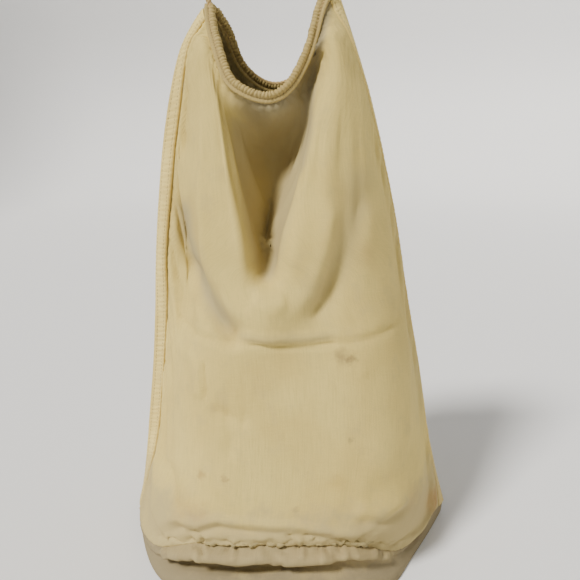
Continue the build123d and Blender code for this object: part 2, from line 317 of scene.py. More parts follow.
class Nodes:
    """Adds nodes to a material with little typing. A value may be a number or another node's socket."""

    def __init__(self, name):
        self.material = bpy.data.materials.new(name)
        self.material.use_nodes = True
        self.tree = self.material.node_tree
        self.shader = self.tree.nodes["Principled BSDF"]

    def set(self, socket, value):
        if isinstance(value, bpy.types.NodeSocket):
            self.tree.links.new(value, socket)
        else:
            socket.default_value = value

    def node(self, kind, out=0, inputs=(), **settings):
        made = self.tree.nodes.new(kind)
        for key, value in settings.items():
            setattr(made, key, value)
        for key, value in dict(inputs).items():
            self.set(made.inputs[key], value)
        return made.outputs[out]

    def math(self, operation, a, b=0.0, clamp=False):
        return self.node("ShaderNodeMath", inputs={0: a, 1: b}, operation=operation, use_clamp=clamp)

    def noise(self, vector, scale, detail=3.0, roughness=0.55):
        return self.node("ShaderNodeTexNoise", inputs={
            "Vector": vector, "Scale": scale, "Detail": detail, "Roughness": roughness})

    def spread(self, value, low, high, to_low=0.0, to_high=1.0):
        return self.node("ShaderNodeMapRange", inputs={
            0: value, 1: low, 2: high, 3: to_low, 4: to_high}, interpolation_type="SMOOTHSTEP")

    def stretch(self, vector, scale):
        return self.node("ShaderNodeVectorMath", inputs={0: vector, 1: scale}, operation="MULTIPLY")

    def mix(self, share, a, b, blend="MIX"):
        made = self.tree.nodes.new("ShaderNodeMix")
        made.data_type = "RGBA"
        made.blend_type = blend
        self.set(made.inputs[0], share)
        self.set(made.inputs[6], a)
        self.set(made.inputs[7], b)
        return made.outputs[2]


# Stains on the front, in metres: the place, the radius, the strength and the colour.
STAINS = [
    ((0.169, -0.020, 0.036), 0.014, 0.75, (0.34, 0.18, 0.055)),
    ((0.157, -0.030, 0.046), 0.012, 0.45, (0.40, 0.22, 0.06)),
    ((0.120, -0.080, 0.084), 0.012, 0.30, (0.42, 0.24, 0.09)),
    ((0.048, -0.100, 0.249), 0.006, 0.55, (0.25, 0.17, 0.08)),
    ((0.058, -0.099, 0.246), 0.004, 0.6, (0.23, 0.15, 0.07)),
    ((0.058, -0.110, 0.166), 0.003, 0.7, (0.22, 0.15, 0.08)),
    ((0.044, -0.124, 0.126), 0.007, 0.35, (0.50, 0.34, 0.07)),
    ((-0.093, -0.115, 0.128), 0.004, 0.5, (0.36, 0.20, 0.07)),
    ((-0.068, -0.122, 0.127), 0.003, 0.5, (0.30, 0.18, 0.07)),
    ((0.003, -0.130, 0.098), 0.003, 0.5, (0.30, 0.20, 0.09)),
    ((0.070, -0.070, 0.345), 0.012, 0.25, (0.42, 0.27, 0.09)),
    ((-0.106, -0.105, 0.086), 0.014, 0.35, (0.45, 0.27, 0.08)),
    ((-0.090, -0.118, 0.090), 0.010, 0.35, (0.44, 0.25, 0.08)),
]
# The cloth's colour where the point attribute of painted shade is a half and where it is 1. These are painted
# shade, deeper than the shade that the light gives.
SHADED_TONE = (0.46, 0.37, 0.17)
PAINTED_DEEP_SHADE_TONE = (0.27, 0.225, 0.125)
THREAD_PITCH = 1.15  # of the weave's bump, in millimetres


def shade(tone, *factors):
    """A colour with each channel multiplied, at most 1."""
    factors = factors * 3 if len(factors) == 1 else factors
    return [min(1, c * k) for c, k in zip(tone, factors)] + [1]


def canvas(name, tone, grey=(0.42, 0.335, 0.17), soil_and_shade=0.5, plain_above=0.105, greyest_below=0.070, bump=0.4,
           stained=False, painted_shade=False):
    """Woven cotton: crossed threads, slubs along them, uneven ageing, a greyer tone low down, painted shade
    in creases and wear along ridges. The greyer tone low down is dirt, except on the base, where it is
    painted shade.
    The last argument paints shade where the mesh's point attribute gives it."""
    n = Nodes(name)
    cloth = n.node("ShaderNodeUVMap", uv_map="cloth")
    place = n.node("ShaderNodeTexCoord", out=3)
    split = n.tree.nodes.new("ShaderNodeSeparateXYZ")
    threads = math.tau / (THREAD_PITCH * MM)
    n.set(split.inputs[0], n.stretch(cloth, (threads, threads, 1)))
    weave = n.math("MULTIPLY", n.math("SINE", split.outputs[0]), n.math("SINE", split.outputs[1]))
    weft = n.noise(n.stretch(cloth, (60, 900, 1)), 1.0, 2)
    warp = n.noise(n.stretch(cloth, (620, 38, 1)), 1.0, 3)
    fuzz = n.noise(place, 900, 4, 0.7)
    slubs = n.math("ADD", n.math("MULTIPLY", weft, 0.6), n.math("MULTIPLY", warp, 1.2))
    height = n.math("ADD", n.math("MULTIPLY", weave, 0.30), slubs)
    height = n.math("ADD", height, n.math("MULTIPLY", fuzz, 0.7))
    n.set(n.shader.inputs["Normal"], n.node("ShaderNodeBump", inputs={
        "Strength": bump, "Distance": 0.0007, "Height": height}))

    ageing = n.noise(place, 9, 4, 0.6)
    blotch = n.noise(place, 42, 3, 0.6)
    colour = n.mix(n.spread(ageing, 0.36, 0.66), shade(tone, 1), shade(tone, 0.90, 0.87, 0.82))
    colour = n.mix(n.spread(blotch, 0.52, 0.72, 0, 0.22), colour, (*grey, 1))
    colour = n.mix(n.spread(warp, 0.38, 0.72, 0, 0.34), colour, shade(tone, 0.72))
    colour = n.mix(n.spread(weft, 0.35, 0.75, 0, 0.18), colour, shade(tone, 1.18))
    colour = n.mix(n.spread(fuzz, 0.45, 0.7, 0, 0.16), colour, shade(tone, 0.70))
    # Pointiness: darker in creases, which is painted shade, and lighter along ridges, which is wear.
    crease_shade_and_ridge_wear = n.node("ShaderNodeNewGeometry", out=7)
    colour = n.mix(n.spread(crease_shade_and_ridge_wear, 0.49, 0.43, 0, 0.5), colour, shade(tone, 0.55, 0.49, 0.42))
    colour = n.mix(n.spread(crease_shade_and_ridge_wear, 0.51, 0.56, 0, 0.35), colour, shade(tone, 1.2))
    # Greyer towards the bottom: dirt, except on the base, where it is painted shade.
    low = n.tree.nodes.new("ShaderNodeSeparateXYZ")
    n.set(low.inputs[0], place)
    edge = n.math("ADD", low.outputs[2], n.math("MULTIPLY", n.math("SUBTRACT", blotch, 0.5), 0.06))
    colour = n.mix(n.spread(edge, plain_above, greyest_below, 0, soil_and_shade), colour, (*grey, 1))
    if stained:
        rough = n.math("MULTIPLY", n.math("SUBTRACT", n.noise(place, 160, 3), 0.5), 0.014)
        for centre, radius, strength, tint in STAINS:
            away = n.node("ShaderNodeVectorMath", out=1, inputs={0: place, 1: centre}, operation="DISTANCE")
            share = n.spread(n.math("ADD", away, rough), radius * 2.0, 0, 0, strength)
            colour = n.mix(share, colour, (*tint, 1))
    if painted_shade:
        # Painted shade: the point attribute turns the colour towards the lighter shade tone up to a half, and
        # towards the darker one from a half to 1.
        inside = n.node("ShaderNodeAttribute", out=2, attribute_name="painted_shade")
        twice = n.math("MULTIPLY", inside, 2.0)
        dark = n.mix(n.spread(warp, 0.38, 0.72, 0, 0.3), (*PAINTED_DEEP_SHADE_TONE, 1), shade(PAINTED_DEEP_SHADE_TONE, 0.75))
        colour = n.mix(n.math("MULTIPLY", inside, 2.0, clamp=True), colour, (*SHADED_TONE, 1))
        colour = n.mix(n.math("SUBTRACT", twice, 1.0, clamp=True), colour, dark)
    n.set(n.shader.inputs["Base Color"], colour)
    n.shader.inputs["Roughness"].default_value = 0.92
    n.shader.inputs["Sheen Weight"].default_value = 0.05
    n.shader.inputs["Sheen Roughness"].default_value = 0.6
    n.shader.inputs["Sheen Tint"].default_value = (1.0, 0.85, 0.6, 1)
    n.shader.inputs["Specular IOR Level"].default_value = 0.2
    return n.material


def thread_material(name, tone):
    """Twisted cotton thread: fine bands across it and a soft sheen."""
    n = Nodes(name)
    place = n.node("ShaderNodeTexCoord", out=3)
    fibres = n.noise(place, 1400, 3, 0.6)
    dirt = n.noise(place, 60, 3, 0.6)
    colour = n.mix(n.spread(fibres, 0.35, 0.7, 0, 0.4), shade(tone, 1), shade(tone, 0.7))
    colour = n.mix(n.spread(dirt, 0.5, 0.7, 0, 0.3), colour, shade(tone, 0.6))
    n.set(n.shader.inputs["Base Color"], colour)
    n.set(n.shader.inputs["Normal"], n.node("ShaderNodeBump", inputs={
        "Strength": 0.3, "Distance": 0.0003, "Height": fibres}))
    n.shader.inputs["Roughness"].default_value = 0.8
    n.shader.inputs["Sheen Weight"].default_value = 0.2
    return n.material


BODY_CANVAS = canvas("body_canvas", (0.70, 0.55, 0.175), soil_and_shade=0.7, stained=True, painted_shade=True)
# The inside's canvas is a darker copy of the body's: painted shade inside the sack.
INNER_CANVAS = canvas("inner_canvas", (0.36, 0.29, 0.125), soil_and_shade=0.2)
# The base's canvas is a darker copy of the body's, greyer still below 40 mm: painted shade under the body's
# overhanging edge.
BASE_CANVAS = canvas("base_canvas", (0.38, 0.30, 0.145), grey=(0.24, 0.195, 0.11), soil_and_shade=0.85,
                     plain_above=0.040, greyest_below=0.020, bump=0.5)
# The seams' canvas is a brighter copy of the body's: painted light, as on strips that face the light.
SEAM_CANVAS = canvas("seam_canvas", (0.90, 0.71, 0.24), stained=True)
HEM_CANVAS = canvas("hem_canvas", (0.46, 0.35, 0.13), soil_and_shade=0)
THREAD = thread_material("thread", (0.56, 0.43, 0.17))
DARK_THREAD = thread_material("dark_thread", (0.20, 0.14, 0.05))
ROPE = thread_material("rope", (0.50, 0.34, 0.12))


# ---------------------------------------------------------------- the two body panels

# Folds on the front, seen square on as (x, z): the path of each, its half width and how far it stands out.
FOLDS = [
    # the hollow between the hem and the right flank
    ([(27, 540), (18, 515), (6, 490)], 6, -4),
    # the long valley beside the left seam, the fold to its left and the bright flank to its right
    ([(-103, 340), (-94, 318), (-82, 300), (-68, 282), (-46, 264)], 11, -13),
    ([(-128, 380), (-122, 340), (-104, 300), (-84, 276)], 9, 3.5),
    ([(-98, 440), (-92, 370), (-78, 330), (-60, 300), (-38, 280)], 9, 5),
    ([(-114, 540), (-110, 500), (-112, 455), (-116, 425)], 6, -4.0),
    # the valley's upper part, made shallower
    ([(-116, 460), (-114, 420), (-110, 370), (-104, 330), (-98, 300)], 10, 10),
    # the same on the right, softer
    ([(70, 425), (58, 368), (42, 327), (24, 300), (6, 282)], 14, -7.5),
    ([(40, 405), (32, 355), (18, 314), (-2, 290)], 10, 5),
    ([(62, 520), (64, 470), (72, 420), (84, 350)], 9, 2.6),
    # the hollow's lower end and the bright lip under it
    ([(-27, 350), (-26, 334), (-26, 320)], 9, -2.5),
    ([(-40, 310), (-22, 305), (-4, 309)], 9, 3),
    # storage creases
    ([(-66, 268), (-40, 266), (-10, 264.5), (20, 265), (52, 268)], 2.6, -3.6),
    ([(-60, 274), (-30, 272), (0, 271), (36, 274)], 5, 2.6),
    ([(-132, 276), (-112, 268), (-88, 267), (-54, 267)], 2.8, -2.8),
    ([(24, 265), (60, 267), (94, 270), (124, 276)], 3.2, -2.0),
    ([(24, 272), (60, 274), (94, 277)], 5, 1.2),
    ([(-89, 248), (-88, 228), (-86, 206)], 2.0, -3.0),
    ([(-97, 248), (-95, 206)], 5, 2.6),
    ([(-130, 252), (-112, 238), (-100, 250)], 5, 2.2),
    ([(-84, 200), (-62, 196), (-42, 188)], 6, -2.6),
    ([(-70, 206), (-60, 180), (-64, 150)], 7, -1.8),
    ([(64, 240), (76, 235)], 2.0, 1.6),
    ([(108, 292), (116, 262), (120, 240)], 6, -2.0),
    ([(-20, 240), (30, 180), (60, 150)], 22, -1.4),
    ([(130, 150), (112, 120), (70, 112)], 14, -2.4),
]

# Folds near the base: sharper, with the cloth overlapping itself.
LOW_FOLDS = [
    ([(-152, 128), (-148, 104), (-152, 80), (-156, 54)], 5, 6),
    ([(-160, 100), (-158, 74), (-160, 56)], 4, -4),
    ([(-134, 124), (-126, 104), (-122, 88)], 8, -5),
    ([(-152, 50), (-138, 66), (-120, 82), (-98, 83), (-76, 93), (-42, 92), (8, 89), (47, 80), (84, 72)],
     3.6, 3.4),
    ([(-146, 44), (-132, 58), (-116, 72), (-98, 73), (-76, 83), (-42, 82), (8, 79), (47, 70), (84, 63)],
     4.2, -3.4),
    ([(60, 104), (92, 92), (130, 92)], 8, 2.6),
    ([(62, 92), (94, 80), (128, 80)], 6, -3.2),
]

# The base's turned-up edge at the front, as (x, z): the ridge of its roll, the deep crease under it, the
# slack below, three dents in the roll, and the gap under the body's overhang on the right.
BASE_FOLDS = [
    ([(-150, 30), (-128, 34), (-100, 44), (-76, 47), (-56, 44), (-34, 50), (-14, 44), (30, 47), (62, 46),
      (92, 36)], 4.5, 3.6),
    ([(-150, 20), (-124, 25), (-100, 30), (-60, 31), (-20, 34), (20, 38), (60, 40), (96, 30)], 4.2, -8.5),
    ([(-120, 10), (-60, 14), (0, 16), (60, 14), (100, 10)], 8, 2),
    ([(-118, 38), (-106, 44), (-92, 40)], 4, -2.6),
    ([(-30, 42), (-18, 48), (-8, 42)], 4, -2.4),
    ([(38, 50), (50, 44), (66, 47)], 3.6, -2.8),
    ([(156, 12), (140, 13), (124, 16), (110, 22), (98, 28)], 3.2, -5),
]

# Folds on the back, as (x, z): it hangs from the same two points, and slumps over the base.
BACK_FOLDS = [
    ([(-96, 560), (-100, 500), (-88, 430), (-60, 372), (-30, 340)], 12, 5),
    ([(-110, 540), (-116, 470), (-104, 400), (-78, 345), (-46, 310)], 10, -6),
    ([(50, 560), (52, 500), (44, 440), (22, 386), (-6, 350)], 12, 5),
    ([(62, 530), (70, 460), (62, 400), (40, 350), (12, 316)], 10, -6),
    ([(-64, 480), (-56, 430), (-40, 395), (-20, 384)], 9, 3.5),
    ([(22, 480), (18, 440), (4, 404), (-16, 390)], 9, 3.5),
    ([(-128, 262), (-80, 258), (-30, 262), (30, 258), (80, 263), (116, 260)], 3, -3.2),
    ([(-120, 270), (-60, 267), (0, 269), (60, 267), (106, 270)], 6, 2.4),
    ([(-20, 250), (-24, 190), (-18, 120)], 3.4, -2.4),
    ([(-30, 250), (-34, 190), (-28, 120)], 7, 2.0),
    ([(-120, 220), (-96, 180), (-80, 120)], 12, 3.6),
    ([(-104, 230), (-76, 176), (-62, 118)], 9, -3.4),
    ([(104, 216), (84, 176), (76, 116)], 12, 3.6),
    ([(86, 226), (64, 172), (56, 118)], 9, -3.4),
    ([(-150, 92), (-110, 76), (-60, 84), (-8, 74), (50, 82), (100, 72), (146, 88)], 7, 4),
    ([(-146, 76), (-106, 60), (-56, 68), (-8, 58), (50, 66), (96, 56), (142, 72)], 6, -4),
    ([(-120, 48), (-70, 42), (-10, 44), (60, 40), (116, 48)], 7, 3),
]
EXCESS, FIRMNESS = 0.035, 0.10  # how much larger the cloth is than its place, and how firmly it is kept there
MOUTH_FIRMNESS, MOUTH_LOW, MOUTH_HIGH = 0.3, 430, 480  # more firmness near the mouth, and where it sets in
SEAM_ROW = 8  # rows above the base seam, where a panel's outward direction is clear of the puckers

# Where the gathered cloth is caught in the base seam, as (x, z): each makes a small fan of creases.
PUCKERS = [(-134, 40), (-96, 56), (-88, 60), (-60, 60), (-32, 62), (-12, 60), (8, 62), (30, 60), (52, 60),
           (62, 58), (84, 50), (100, 40)]


def pucker_folds(way, seed=11):
    """Short creases that fan from each pucker, up (way 1) or down (way -1), with a raised fold between."""
    draw = np.random.default_rng(seed + way)
    folds = []
    for x, z in PUCKERS:
        strong = draw.uniform(0.5, 1.2)
        for lean in (-0.8, 0.6):
            lean += draw.uniform(-0.25, 0.25)
            length = draw.uniform(10, 20) * (1 if way > 0 else 0.5)
            tip = (x + lean * length, z + way * length)
            middle = (x + lean * length * 0.4, z + way * length * 0.5)
            width = draw.uniform(1.8, 2.8)
            folds.append(([(x, z - way * 2), middle, tip], width, -strong * draw.uniform(2.2, 3.6)))
        folds.append(([(x, z - way * 2), (x, z + way * 5), (x + 1, z + way * 14)], 3.4, strong * 2.4))
    return folds


def gathers(grid, normal, spacing, depth, reach, top, seed):
    """Fine ribs square to the rim (top) or to the base seam, uneven, that fade over their reach."""
    draw = np.random.default_rng(seed)
    edge = grid[-1] if top else grid[0]
    along = lengths_along(edge)
    steps = np.cumsum(draw.uniform(0.6, 1.4, 400) * spacing)
    strength = np.interp(along, steps, draw.uniform(0.3, 1.0, 400))
    wave = np.cos(math.tau * np.interp(along, steps, np.arange(400.0))) * strength
    away = np.linalg.norm(grid - edge, axis=2)
    fade = np.exp(-away / reach) * smooth(away, 0, 4)
    return grid + normal * (wave * fade * depth)[..., None]


def fold_lift(grid, folds):
    """How far each point is raised by the folds, seen square on."""
    flat = grid[..., (0, 2)]
    lift = np.zeros(grid.shape[:2])
    for path, width, height in folds:
        away, where = distance_to_path(flat, path)
        ends = smooth(where, -0.01, 0.18) * smooth(1 - where, -0.01, 0.18)
        lift += height * np.exp(-(away / width) ** 2) * ends
    return lift


def past_seam(grid):
    """How far each point lies past the left side seam's inner edge."""
    across = np.array([lengths_along(row) for row in grid])
    return across - np.minimum(SEAM_WIDTH, SEAM_SHARE * across[:, 24:25])


def folded(grid, normal, folds, out):
    """A panel with each fold raised or sunk along the normals, and on the front the groove and the bead
    beside its left seam."""
    lift = fold_lift(grid, folds)
    rim = np.linalg.norm(grid - grid[-1:], axis=2)
    foot = np.linalg.norm(grid - grid[:1], axis=2)
    lift *= smooth(rim, 0, 4) * smooth(foot, 0, 5)
    past = past_seam(grid)
    lift *= smooth(past, 0, 6)
    if out == 1:
        bead = SEAM_BEAD * np.exp(-((past - 4.2) / 2.2) ** 2)
        lift += bead - SEAM_GROOVE * np.exp(-((past - 0.8) / 1.3) ** 2)
    return grid + normal * lift[..., None]


# The cowl's two edges, seen square on as (z, x): shade is painted on the cloth between them.
COWL_LEFT = [(330, -27), (350, -36), (385, -45), (429, -56), (466, -64), (497, -70), (532, -76), (563, -80),
             (585, -84)]
COWL_RIGHT = [(330, -25), (350, -18), (399, -2), (429, 14), (460, 21), (488, 22), (513, 26), (545, 32),
              (585, 41)]
# The cowl's painted shade, by height:
COWL_GLOOM = [(330, 0.42), (420, 0.46), (460, 0.55), (490, 0.95), (505, 1.0)]  # how much, at each height

# More places where shade is painted, as (x, z), with their reach and how much: the valleys beside the two
# flanks, the crease under the cowl, and the sack's right side.
PAINTED_SHADE_PATHS = [
    ([(-113, 400), (-110, 355), (-98, 327), (-83, 301), (-68, 282), (-46, 264)], 10, 0.62),
    ([(66, 440), (58, 380), (40, 327), (22, 298), (4, 280)], 14, 0.26),
    ([(-62, 269), (-30, 267), (20, 267), (50, 270)], 4, 0.25),
    ([(112, 460), (124, 380), (134, 280), (146, 180), (156, 110)], 16, 0.22),
]


def painted_shade_of(grid):
    """How much shade is painted on each point of the front, 0 to 1: inside the cowl, behind the folds on both
    its sides, in the groove beside the left seam, and along the paths listed above."""
    x, z = grid[..., 0], grid[..., 2]
    left, right = (np.interp(z, *np.array(edge, float).T) for edge in (COWL_LEFT, COWL_RIGHT))
    width = np.maximum(right - left, 1)
    within = smooth((x - left) / width, -0.02, 0.40) * smooth((right - x) / width, -0.02, 0.06)
    within *= smooth(z, 318, 372)
    within *= np.interp(z, *np.array(COWL_GLOOM).T)
    crest_left = np.minimum.accumulate(grid[..., 1], axis=1)
    crest_right = np.minimum.accumulate(grid[:, ::-1, 1], axis=1)[:, ::-1]
    depth = 0.46 * smooth(grid[..., 1] - np.maximum(crest_left, crest_right), 3, 22)
    groove = 0.85 * np.exp(-((past_seam(grid) - 0.6) / 0.9) ** 2)
    paths = np.zeros(x.shape)
    for path, reach, share in PAINTED_SHADE_PATHS:
        away, where = distance_to_path(grid[..., (0, 2)], path)
        ends = smooth(where, 0, 0.15) * smooth(1 - where, 0, 0.2)
        paths = np.maximum(paths, share * np.exp(-(away / reach) ** 2) * ends)
    return np.clip(np.maximum.reduce([within, depth, groove, paths]), 0, 1)


def disturbed(grid, held, expand, frames=14, most=6.0):
    """The grid after a short cloth simulation: the cloth is a little larger than its place, so it buckles and
    sags. held is how firmly each point is kept, 0 to 1. The simulation stops before the cloth comes to rest,
    and each move is kept under a limit, most, which many of the points come near."""
    rows, columns = grid.shape[:2]
    mesh = bpy.data.meshes.new("moving_cloth")
    mesh.from_pydata((grid.reshape(-1, 3) * MM).tolist(), [], grid_faces(rows, columns))
    cloth = bpy.data.objects.new("moving_cloth", mesh)
    scene = bpy.context.scene
    scene.collection.objects.link(cloth)
    group = cloth.vertex_groups.new(name="held")
    levels = np.round(held.ravel() * 40).astype(int)
    for level in np.unique(levels):
        group.add(np.flatnonzero(levels == level).tolist(), level / 40, "REPLACE")
    modifier = cloth.modifiers.new("cloth", "CLOTH")
    settings = modifier.settings
    settings.quality = 5
    settings.mass = 0.3
    settings.tension_stiffness = settings.compression_stiffness = 30
    settings.shear_stiffness = 8
    settings.bending_stiffness = 0.6
    settings.tension_damping = settings.compression_damping = 10
    settings.air_damping = 3
    settings.vertex_group_mass = "held"
    settings.pin_stiffness = 1.0
    settings.shrink_min = -expand
    modifier.collision_settings.use_collision = False
    for frame in range(1, frames + 1):
        scene.frame_set(frame)
    evaluated = cloth.evaluated_get(bpy.context.evaluated_depsgraph_get())
    flat = np.zeros(rows * columns * 3)
    evaluated.data.vertices.foreach_get("co", flat)
    move = flat.reshape(grid.shape) / MM - grid
    size = np.linalg.norm(move, axis=2, keepdims=True)
    move *= most * np.tanh(size / most) / np.maximum(size, 1e-6)
    bpy.data.objects.remove(cloth)
    bpy.data.meshes.remove(mesh)
    scene.frame_set(1)
    return grid + move * (1 - smooth(held, 0.5, 1))[..., None]


def hold(grid, firm, stiffer):
    """How firmly the cloth is kept: wholly at its seams and rim, and by firm plus stiffer in between."""
    across = np.array([lengths_along(row) for row in grid])
    back = across[:, -1:] - across
    rim = np.linalg.norm(grid - grid[-1:], axis=2)
    foot = np.linalg.norm(grid - grid[:1], axis=2)
    edge = np.minimum(np.minimum(across - SEAM_WIDTH, back - SEAM_WIDTH), np.minimum(rim * 1.5, foot * 1.5))
    return np.clip(firm + stiffer + (1 - firm) * (1 - smooth(edge, 0, 9)), 0, 1)


def panel_grid(net, hem, out, across, along):
    grid = surface([*net, rim_of(hem, out)], across, along)
    folds = FOLDS + LOW_FOLDS + pucker_folds(1) if out == 1 else BACK_FOLDS
    grid = folded(grid, normals_of(grid, out), folds, out)
    grid = gathers(grid, normals_of(grid, out), spacing=6.5, depth=1.3, reach=10, top=True, seed=5)
    grid = gathers(grid, normals_of(grid, out), spacing=8.0, depth=1.0, reach=9, top=False, seed=6)
    near_mouth = smooth(grid[..., 2], MOUTH_LOW, MOUTH_HIGH)
    return disturbed(grid, hold(grid, FIRMNESS, MOUTH_FIRMNESS * near_mouth), EXCESS)


def cloth_uv(grid):
    """Each point's place on the flat cloth, in metres: across from the left seam and up from the base."""
    across = np.array([lengths_along(row) for row in grid])
    up = np.array([lengths_along(column) for column in grid.swapaxes(0, 1)]).T
    middle = across.shape[1] // 2
    across -= across[:, middle:middle + 1]
    return np.stack([across, up], axis=-1) * MM


def panel(name, node, grid, out):
    normal = normals_of(grid, out)
    near_seam = smooth(np.linalg.norm(grid - grid[:1], axis=2), 1, 7)[..., None]  # 0 at the base seam
    outer = grid + (normal * near_seam + normal[SEAM_ROW] * (1 - near_seam)) * CLOTH / 2
    rows, columns = grid.shape[:2]
    piece = mesh_piece(name, outer.reshape(-1, 3), grid_faces(rows, columns, flip=out < 0), BODY_CANVAS,
                       cloth_uv(grid).reshape(-1, 2))
    # The front's painted shade, kept as a point attribute for the body's canvas.
    painted_shade = painted_shade_of(grid) if out == 1 else np.zeros((rows, columns))
    piece.data.attributes.new("painted_shade", "FLOAT", "POINT").data.foreach_set("value", painted_shade.ravel())
    piece.data.materials.append(INNER_CANVAS)
    thick = piece.modifiers.new("thickness", "SOLIDIFY")
    thick.thickness = THIN_CLOTH * MM
    thick.offset = -1
    thick.material_offset = 1
    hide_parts(node)
    return piece


front_grid = panel_grid(FRONT, FRONT_HEM, 1, 12, 16)
back_grid = panel_grid(BACK, BACK_HEM, -1, 16, 14)
front = panel("front_cloth", "front_panel", front_grid, 1)
back = panel("back_cloth", "back_panel", back_grid, -1)


# ---------------------------------------------------------------- the base

def wall_grid(foot, seam, across, along):
    rows = []
    for share, swing in ROLL_SHAPE:
        row = []
        for (fx, fy), (sx, sy, sz) in zip(foot, seam):
            slack = max(0, (sz - SEAM_LOW) / (SEAM_HIGH - SEAM_LOW))
            reach = 1 + ROLL * slack * swing / math.hypot(fx, fy)
            row.append(((fx + (sx - fx) * share) * reach, (fy + (sy - fy) * share) * reach,
                        CLOTH / 2 + (sz - CLOTH / 2) * share))
        rows.append(row)
    return surface(rows, across, along)


def base_piece():
    """The base's turned-up edge, all round, and its round bottom, as one closed cloth."""
    front_wall = wall_grid(FRONT_FOOT, FRONT[0], 16, 16)
    normal = normals_of(front_wall, 1)
    lift = fold_lift(front_wall, BASE_FOLDS + pucker_folds(-1))
    lift *= smooth(np.linalg.norm(front_wall - front_wall[-1:], axis=2), 0, 5)
    lift *= smooth(front_wall[..., 2], 3, 10)
    front_wall = front_wall + normal * lift[..., None]
    outward = normals_of(front_wall, 1)
    front_wall = gathers(front_wall, outward, spacing=8.0, depth=1.2, reach=8, top=True, seed=6)
    back_wall = wall_grid(BACK_FOOT, BACK[0], 24, 16)
    outward = normals_of(back_wall, -1)
    back_wall = gathers(back_wall, outward, spacing=9.0, depth=0.9, reach=6, top=True, seed=7)
    wall = np.concatenate([front_wall, back_wall[:, ::-1][:, 1:-1]], axis=1)
    columns = wall.shape[1]
    points = [wall[::-1]]
    for share in np.linspace(0.97, 0.02, 24):
        points.append(wall[:1] * (share, share, 1))
    points = np.concatenate(points)
    faces = grid_faces(len(points), columns, ring=True, flip=True)
    faces.append(tuple((len(points) - 1) * columns + k for k in range(columns)))
    uvs = points[..., :2].copy()
    ring = lengths_along(wall[0])
    for k in range(len(wall)):
        uvs[k, :, 0] = ring
        uvs[k, :, 1] = -300 + points[k, :, 2]
    piece = mesh_piece("base_cloth", points.reshape(-1, 3), faces, BASE_CANVAS, uvs.reshape(-1, 2) * MM)
    thick = piece.modifiers.new("thickness", "SOLIDIFY")
    thick.thickness = CLOTH * MM
    thick.offset = 0
    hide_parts("base_panel")
    return piece


base = base_piece()


# ---------------------------------------------------------------- felled side seams

def seam_strip(name, node, grid, side, seed):
    """A folded strip on the front panel's edge, puckered by its two rows of stitching."""
    draw = np.random.default_rng(seed)
    normal = normals_of(grid, 1)
    if side:
        grid, normal = grid[:, ::-1], normal[:, ::-1]
    widths = np.array([min(SEAM_WIDTH, SEAM_SHARE * lengths_along(row)[24]) for row in grid])
    profile = [(0, 0.0), (0.0, 0.8), (0.04, 1.0), (0.13, 0.92), (0.2, 0.72), (0.27, 0.95), (0.4, 1.05),
               (0.55, 1.05), (0.7, 0.98), (0.77, 0.74), (0.84, 0.95), (0.94, 0.9), (1.0, 0.6), (1.0, 0.0)]
    up = lengths_along(grid[:, 0])
    fine = np.arange(0, up[-1], 0.9)
    steps = np.cumsum(draw.uniform(4.6, 7.2, 200))
    pucker = np.interp(fine, steps, draw.uniform(0.35, 1.0, 200))
    phase = np.interp(fine, steps, np.arange(200))
    wave = (np.abs(np.sin(math.pi * phase)) ** 0.7) * pucker
    points, uvs = [], []
    row_lines = []
    for share, rise in profile:
        line, out = [], []
        for row, row_normal, width in zip(grid, normal, widths):
            along = lengths_along(row)
            at = share * width
            line.append([np.interp(at, along, row[:, k]) for k in range(3)])
            out.append([np.interp(at, along, row_normal[:, k]) for k in range(3)])
        line = np.stack([np.interp(fine, up, np.array(line)[:, k]) for k in range(3)], axis=1)
        out = unit(np.stack([np.interp(fine, up, np.array(out)[:, k]) for k in range(3)], axis=1))
        bulge = math.sin(math.pi * share) ** 0.5 if 0 < share < 1 else 0
        height = CLOTH / 2 - 0.3 + rise * SEAM_RISE + 0.9 * wave * bulge * (rise > 0.5)
        points.append(line + out * height[:, None])
        uvs.append(np.stack([np.full(len(fine), share * SEAM_WIDTH), fine], axis=1))
        if rise in (0.72, 0.74):
            row_lines.append((points[-1], out))
    points = np.array(points)
    faces = grid_faces(*points.shape[:2], flip=bool(side))
    piece = mesh_piece(name, points.reshape(-1, 3), faces, SEAM_CANVAS, np.array(uvs).reshape(-1, 2) * MM)
    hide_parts(node)
    return piece, stitches(name + "_stitches", row_lines, THREAD)


left_strip, left_thread = seam_strip("left_seam_strip", "left_side_seam", front_grid, 0, 1)
right_strip, right_thread = seam_strip("right_seam_strip", "right_side_seam", front_grid, -1, 2)


# ---------------------------------------------------------------- hems

# The hem's section: up towards the mouth and out from the sack. It holds the cord, then the stitching and a
# narrow flat band below.
HEM_PROFILE = [(5.0, 0.0), (4.7, 1.5), (3.7, 2.7), (2.2, 3.3), (0.6, 3.1), (-0.5, 2.3), (-1.1, 1.6),
               (-1.7, 1.5), (-2.5, 2.0), (-4.2, 2.2), (-5.2, 1.8), (-5.6, 0.6), (-5.6, -0.6), (-5.2, -1.8),
               (-4.2, -2.2), (-2.5, -2.0), (-1.7, -1.5), (-1.1, -1.6), (-0.5, -2.3), (0.6, -3.1), (2.2, -3.3),
               (3.7, -2.7), (4.7, -1.5)]
HEM_STITCH_POINTS = (7, 16)  # where the section is drawn in by the thread


